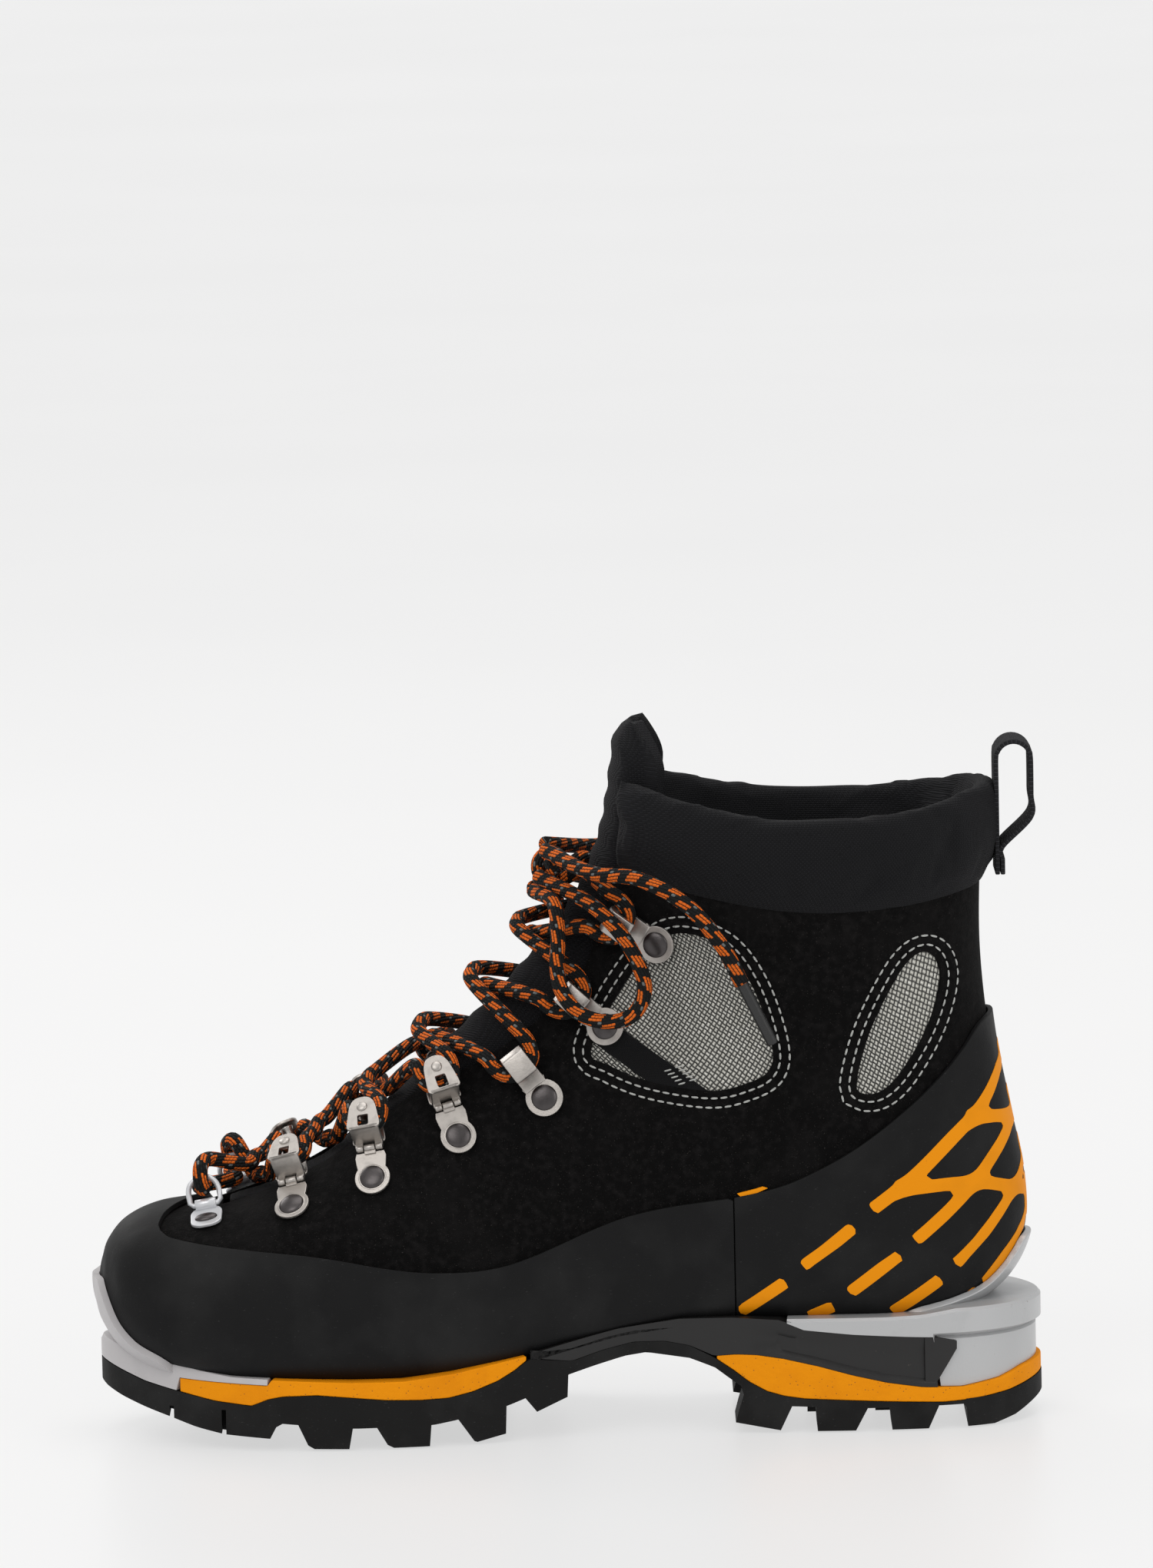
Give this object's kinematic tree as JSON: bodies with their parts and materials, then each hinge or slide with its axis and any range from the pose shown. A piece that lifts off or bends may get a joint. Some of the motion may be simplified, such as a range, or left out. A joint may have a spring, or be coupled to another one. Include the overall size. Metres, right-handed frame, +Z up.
{
  "type": "mountaineering boot",
  "caption": "Insulated right-foot mountaineering boot with rubber rand, crampon welts, orange midsole, hinged pulley eyelets and a tied lace.",
  "frame": {"origin": "middle of the boot's outline seen from above, at the floor, with the lace left out", "axes": "+X from toe to heel, +Z up, so -Y is the medial (inner) side of this right boot and +Y the lateral side"},
  "size_m": [0.305, 0.1078, 0.2281],
  "materials": {
    "black_rubber": "matt moulded rubber",
    "orange_foam": "speckled foamed midsole",
    "grey_welt": "light grey moulded crampon welt",
    "silver_welt": "silver moulded crampon ledge",
    "black_nylon": "black moulded frame",
    "suede": "brushed black suede",
    "padded_cloth": "padded black woven cloth",
    "ankle_mesh": "coarse light grey weave",
    "lining": "dark grey felted lining",
    "board": "fibre insole board",
    "white_metal": "white painted eyelet",
    "pewter_steel": "pewter coloured pressed steel",
    "dark_steel": "gunmetal",
    "lace": "round woven black lace with orange and white flecks",
    "aglet": "moulded lace tip",
    "webbing": "folded webbing"
  },
  "bodies": {
    "boot": {"outsole": "black_rubber", "midsole_front": "orange_foam", "midsole_heel": "orange_foam", "arch_frame": "black_nylon", "toe_welt": "grey_welt", "heel_welt": "silver_welt", "suede_upper": "suede", "ankle_mesh_front_medial": "ankle_mesh", "ankle_mesh_rear_medial": "ankle_mesh", "ankle_mesh_front_lateral": "ankle_mesh", "ankle_mesh_rear_lateral": "ankle_mesh", "lining_bootie": "lining", "collar_pad": "padded_cloth", "toe_rand": "black_rubber", "heel_rand": "black_rubber", "shank_plate": "black_nylon", "insole_board": "board", "footbed": "lining", "toe_eyelet_medial": "white_metal", "pulley_base_1_medial": "pewter_steel", "pulley_base_2_medial": "pewter_steel", "pulley_base_3_medial": "pewter_steel", "lock_hook_medial": "pewter_steel", "lock_hook_rivet_medial": "dark_steel", "cuff_hook_1_medial": "pewter_steel", "cuff_hook_2_medial": "pewter_steel", "toe_eyelet_lateral": "white_metal", "pulley_base_1_lateral": "pewter_steel", "pulley_base_2_lateral": "pewter_steel", "pulley_base_3_lateral": "pewter_steel", "lock_hook_lateral": "pewter_steel", "lock_hook_rivet_lateral": "dark_steel", "cuff_hook_1_lateral": "pewter_steel", "cuff_hook_2_lateral": "pewter_steel", "lace": "lace", "lace_knot": "lace", "bow_loop_medial": "lace", "lace_tail_medial": "lace", "aglet_medial": "aglet", "bow_loop_lateral": "lace", "lace_tail_lateral": "lace", "aglet_lateral": "aglet"},
    "yoke_1_medial": {"pulley_yoke_1_medial": "pewter_steel"},
    "roller_1_medial": {"pulley_roller_1_medial": "dark_steel"},
    "yoke_1_lateral": {"pulley_yoke_1_lateral": "pewter_steel"},
    "roller_1_lateral": {"pulley_roller_1_lateral": "dark_steel"},
    "yoke_2_medial": {"pulley_yoke_2_medial": "pewter_steel"},
    "roller_2_medial": {"pulley_roller_2_medial": "dark_steel"},
    "yoke_2_lateral": {"pulley_yoke_2_lateral": "pewter_steel"},
    "roller_2_lateral": {"pulley_roller_2_lateral": "dark_steel"},
    "yoke_3_medial": {"pulley_yoke_3_medial": "pewter_steel"},
    "roller_3_medial": {"pulley_roller_3_medial": "dark_steel"},
    "yoke_3_lateral": {"pulley_yoke_3_lateral": "pewter_steel"},
    "roller_3_lateral": {"pulley_roller_3_lateral": "dark_steel"},
    "ring_medial": {"toe_ring_medial": "white_metal"},
    "ring_lateral": {"toe_ring_lateral": "white_metal"},
    "tongue": {"tongue": "padded_cloth"},
    "pull_loop": {"pull_loop": "webbing"}
  },
  "joints": [
    {"name": "yoke_1_medial_hinge", "type": "hinge", "parent": "boot", "child": "yoke_1_medial", "pos_m": [-0.08916, -0.02654, 0.08323], "axis": [0.9562, -0.1657, 0.2414], "range_deg": [-1, 2.4]},
    {"name": "roller_1_medial_spin", "type": "hinge", "parent": "yoke_1_medial", "child": "roller_1_medial", "pos_m": [-0.08983, -0.01892, 0.09113], "axis": [-0.2885, -0.3922, 0.8735], "continuous": true},
    {"name": "yoke_1_lateral_hinge", "type": "hinge", "parent": "boot", "child": "yoke_1_lateral", "pos_m": [-0.08941, 0.02107, 0.08339], "axis": [-0.912, -0.2246, -0.3434], "range_deg": [-1, 2.4]},
    {"name": "roller_1_lateral_spin", "type": "hinge", "parent": "yoke_1_lateral", "child": "roller_1_lateral", "pos_m": [-0.09038, 0.01325, 0.09105], "axis": [-0.4045, 0.3529, 0.8437], "continuous": true},
    {"name": "yoke_2_medial_hinge", "type": "hinge", "parent": "boot", "child": "yoke_2_medial", "pos_m": [-0.06346, -0.03106, 0.0941], "axis": [0.9769, -0.1184, 0.1781], "range_deg": [-1, 2.4]},
    {"name": "roller_2_medial_spin", "type": "hinge", "parent": "yoke_2_medial", "child": "roller_2_medial", "pos_m": [-0.06468, -0.0263, 0.10394], "axis": [-0.2111, -0.6683, 0.7134], "continuous": true},
    {"name": "yoke_2_lateral_hinge", "type": "hinge", "parent": "boot", "child": "yoke_2_lateral", "pos_m": [-0.06364, 0.03083, 0.09394], "axis": [-0.9539, -0.183, -0.238], "range_deg": [-1, 2.4]},
    {"name": "roller_2_lateral_spin", "type": "hinge", "parent": "yoke_2_lateral", "child": "roller_2_lateral", "pos_m": [-0.06506, 0.02571, 0.10356], "axis": [-0.2996, 0.6295, 0.7169], "continuous": true},
    {"name": "yoke_3_medial_hinge", "type": "hinge", "parent": "boot", "child": "yoke_3_medial", "pos_m": [-0.03816, -0.02854, 0.10714], "axis": [0.9488, 0.17, 0.2661], "range_deg": [-1, 2.4]},
    {"name": "roller_3_medial_spin", "type": "hinge", "parent": "yoke_3_medial", "child": "roller_3_medial", "pos_m": [-0.04143, -0.02637, 0.11741], "axis": [-0.0122, -0.8224, 0.5688], "continuous": true},
    {"name": "yoke_3_lateral_hinge", "type": "hinge", "parent": "boot", "child": "yoke_3_lateral", "pos_m": [-0.03813, 0.03045, 0.10697], "axis": [-0.9523, 0.153, -0.2639], "range_deg": [-1, 2.4]},
    {"name": "roller_3_lateral_spin", "type": "hinge", "parent": "yoke_3_lateral", "child": "roller_3_lateral", "pos_m": [-0.04138, 0.02767, 0.1171], "axis": [-0.0414, 0.7923, 0.6087], "continuous": true},
    {"name": "toe_ring_medial_hinge", "type": "hinge", "parent": "boot", "child": "ring_medial", "pos_m": [-0.11692, -0.02062, 0.07502], "axis": [0.981, -0.0611, 0.1842], "range_deg": [-3, 1.2]},
    {"name": "toe_ring_lateral_hinge", "type": "hinge", "parent": "boot", "child": "ring_lateral", "pos_m": [-0.10768, 0.01163, 0.07722], "axis": [-0.9387, -0.1116, -0.3263], "range_deg": [-3, 1.2]},
    {"name": "tongue_hinge", "type": "hinge", "parent": "boot", "child": "tongue", "pos_m": [-0.11242, -0.00515, 0.07111], "axis": [0, 1, 0], "range_deg": [0, 4]},
    {"name": "pull_loop_hinge", "type": "hinge", "parent": "boot", "child": "pull_loop", "pos_m": [0.13944, 0, 0.17556], "axis": [0, 1, 0], "range_deg": [0, 30], "stiffness_Nm_per_rad": 0.05}
  ]
}
